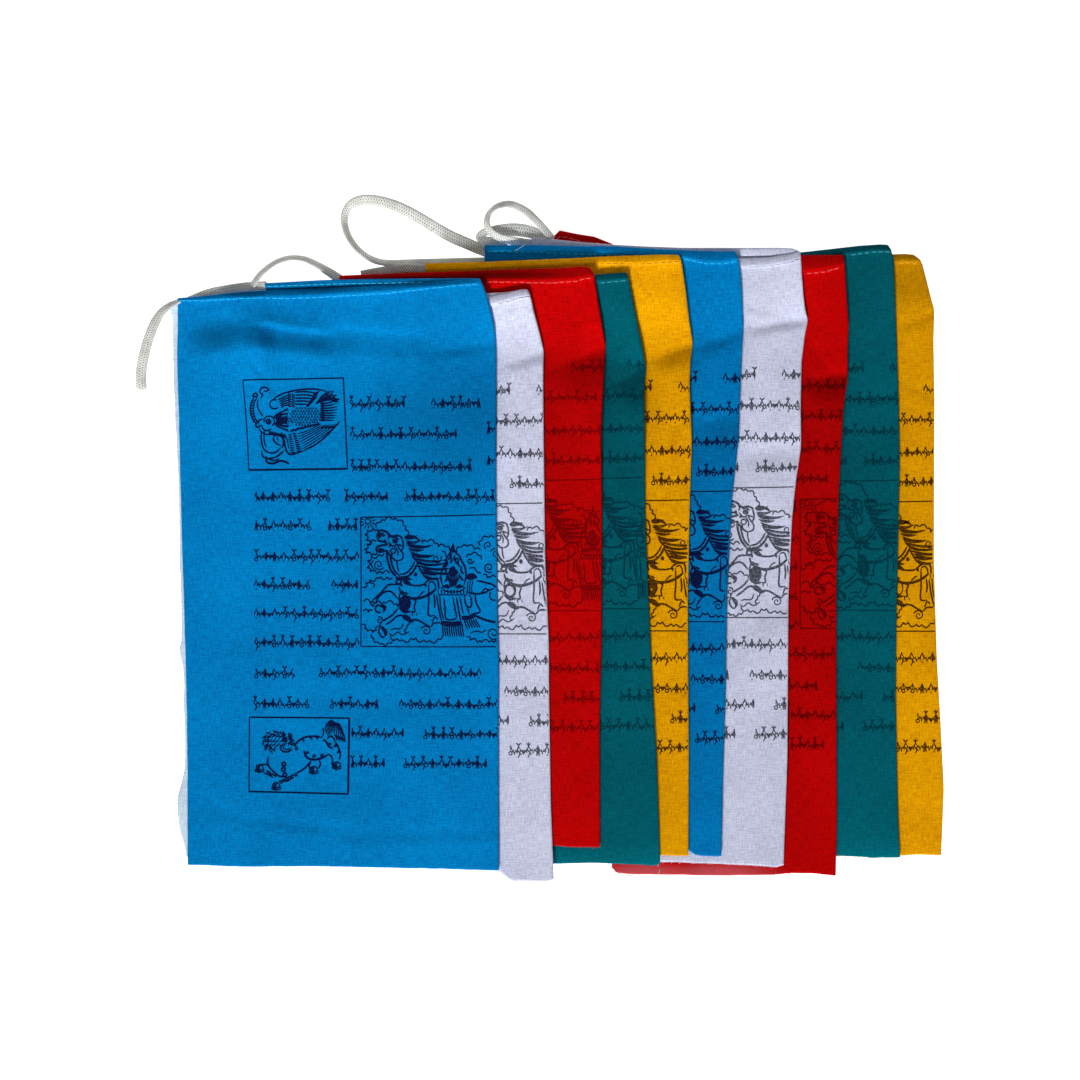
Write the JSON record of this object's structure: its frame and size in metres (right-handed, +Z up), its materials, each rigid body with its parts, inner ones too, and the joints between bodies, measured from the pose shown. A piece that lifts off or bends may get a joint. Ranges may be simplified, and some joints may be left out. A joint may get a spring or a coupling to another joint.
{
  "type": "folded string of prayer flags",
  "caption": "Cotton prayer flags folded in half and laid as an overlapping fan, joined by a flat braided cord that runs through their top hems.",
  "frame": {"origin": "centre of the flags' box, on the surface they lie on", "axes": "+X to the right across the fan, towards the flags' folded edges; +Y towards the hems and the cord; +Z up from the surface"},
  "size_m": [0.4598, 0.3896, 0.0243],
  "materials": {
    "cloth_blue": "thin plain-weave cotton, matt",
    "cloth_white": "thin plain-weave cotton, matt, faintly violet white",
    "cloth_red": "thin plain-weave cotton, matt",
    "cloth_green": "thin plain-weave cotton, matt, blue green",
    "cloth_yellow": "thin plain-weave cotton, matt, golden",
    "cord_white": "flat braided cord, slightly glossy"
  },
  "bodies": {
    "root": {"flag_01_blue": "cloth_blue", "flag_02_white": "cloth_white", "flag_03_red": "cloth_red", "flag_04_green": "cloth_green", "flag_05_yellow": "cloth_yellow", "flag_06_blue": "cloth_blue", "flag_07_white": "cloth_white", "flag_08_red": "cloth_red", "flag_09_green": "cloth_green", "flag_10_yellow": "cloth_yellow", "cord_free_end": "cord_white", "cord_link_01_02": "cord_white", "cord_loop_02_03": "cord_white", "cord_link_04_05": "cord_white", "cord_loop_05_06": "cord_white", "cord_loop_06_07": "cord_white", "cord_loop_07_08": "cord_white"}
  },
  "joints": []
}
